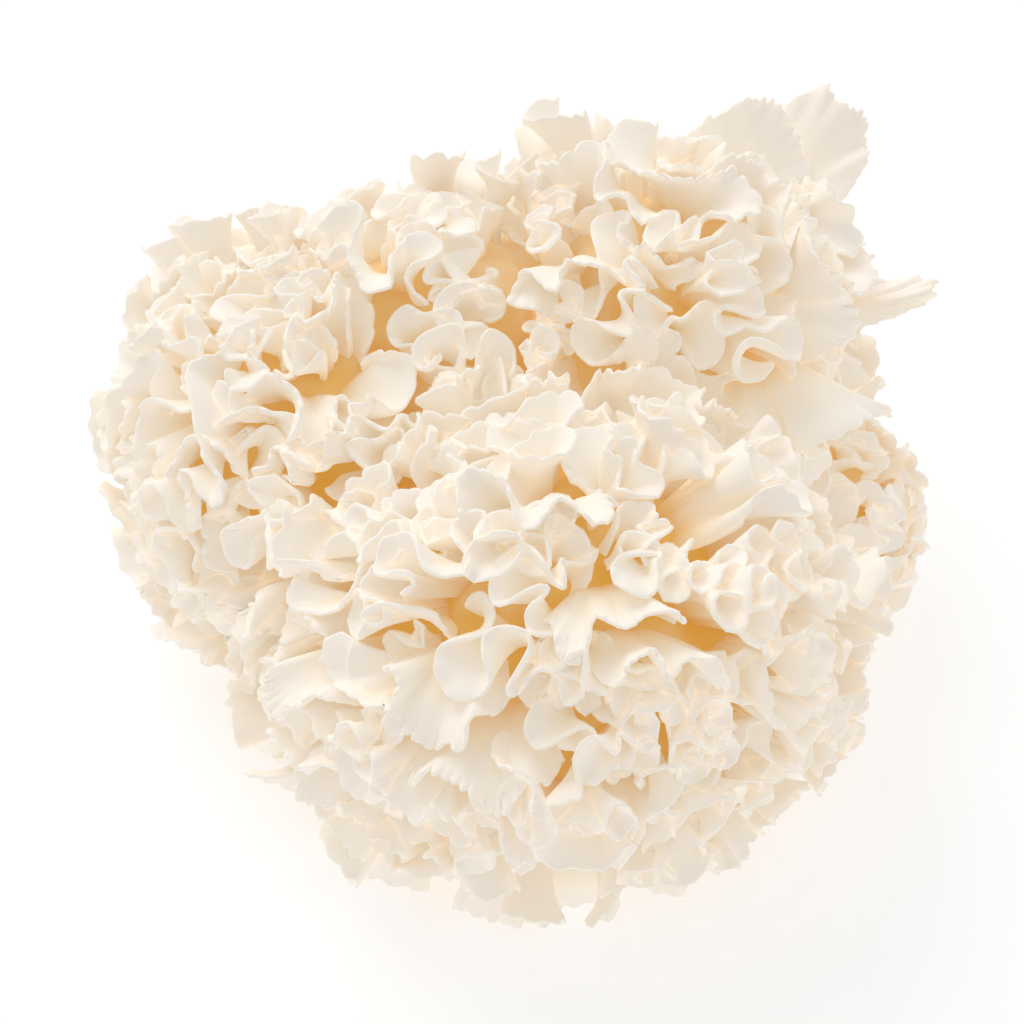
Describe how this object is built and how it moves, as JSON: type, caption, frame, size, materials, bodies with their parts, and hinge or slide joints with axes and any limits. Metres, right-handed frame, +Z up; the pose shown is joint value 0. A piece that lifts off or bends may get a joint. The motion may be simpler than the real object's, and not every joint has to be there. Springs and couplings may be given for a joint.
{
  "type": "coral mushroom",
  "caption": "Whole fresh ruffled mushroom: thin cream sheets folded into joined rounded heads, on a flat cut base.",
  "frame": {"origin": "under the middle of the mushroom's bounding box, in the plane of the flat cut that it rests on", "axes": "+Z up from the cut base; +X along the mushroom's length, to the right as pictured; +Y away from the camera"},
  "size_m": [0.1397, 0.1364, 0.0729],
  "materials": {
    "flesh": "smooth, softly translucent, satin"
  },
  "bodies": {
    "root": {"fruiting_body": "flesh"}
  },
  "joints": []
}
